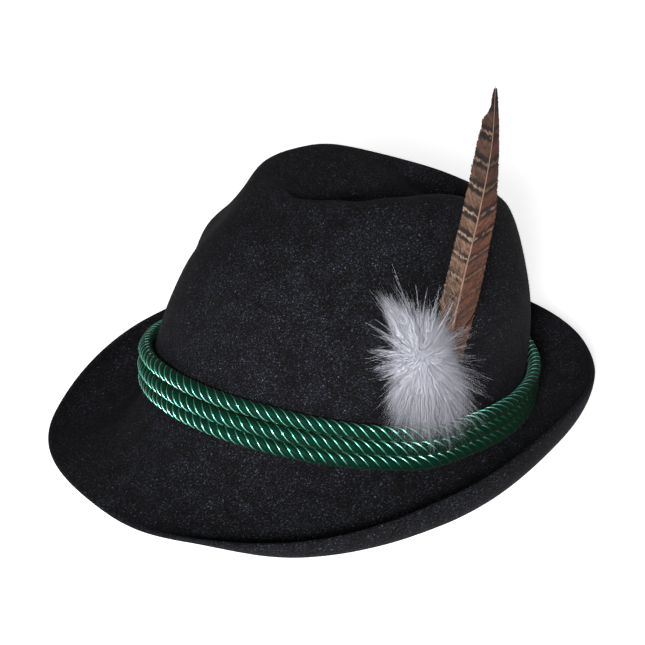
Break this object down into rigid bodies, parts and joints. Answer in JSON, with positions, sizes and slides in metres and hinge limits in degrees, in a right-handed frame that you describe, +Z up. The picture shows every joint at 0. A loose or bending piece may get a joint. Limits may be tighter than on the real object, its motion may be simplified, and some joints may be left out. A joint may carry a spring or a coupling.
{
  "type": "tyrolean hat",
  "caption": "Black felt hat with a creased crown, a brim dipped at the front and turned up behind, green twisted cords, a barred tail feather and a white plume.",
  "frame": {"origin": "bottom centre of the whole hat's box, on the surface that it rests on", "axes": "+Z up, -Y towards the hat's front, +X towards the wearer's left, where the feather is"},
  "size_m": [0.2464, 0.2924, 0.1993],
  "materials": {
    "felt": "matte wool felt, near black",
    "cord": "green twisted cord with pale mint threads",
    "feather": "tan pheasant tail feather with dark bars",
    "plume": "soft white down"
  },
  "bodies": {
    "root": {"felt_body": "felt", "cord_lower": "cord", "cord_middle": "cord", "cord_upper": "cord", "tail_feather": "feather", "down_plume": "plume"}
  },
  "joints": []
}
